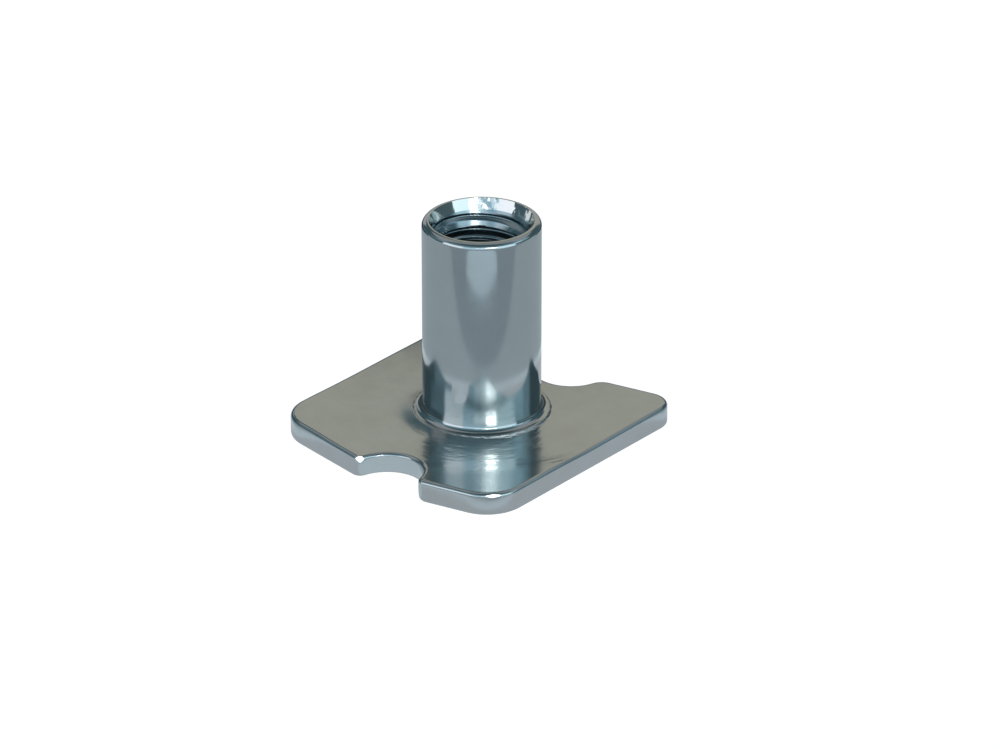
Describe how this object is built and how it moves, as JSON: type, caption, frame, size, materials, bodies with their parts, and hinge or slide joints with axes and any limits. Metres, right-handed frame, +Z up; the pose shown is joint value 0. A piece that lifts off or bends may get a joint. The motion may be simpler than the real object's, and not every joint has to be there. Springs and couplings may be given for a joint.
{
  "type": "tee nut",
  "caption": "Plain tee nut: a threaded, countersunk barrel on a flat chevron plate with half-round pilot notches, set in a panel hole to take a bolt.",
  "frame": {"origin": "on the bore's axis, in the plate's underside", "axes": "+Z up the barrel to its mouth, -Y to the plate's convex V end, +Y to its hollow V end, +X to the plate's shorter side from the barrel"},
  "size_m": [0.0244, 0.0258, 0.0194],
  "materials": {
    "zinc_plated_steel": "bright zinc plate on drawn steel"
  },
  "bodies": {
    "root": {"tee_nut": "zinc_plated_steel"}
  },
  "joints": []
}
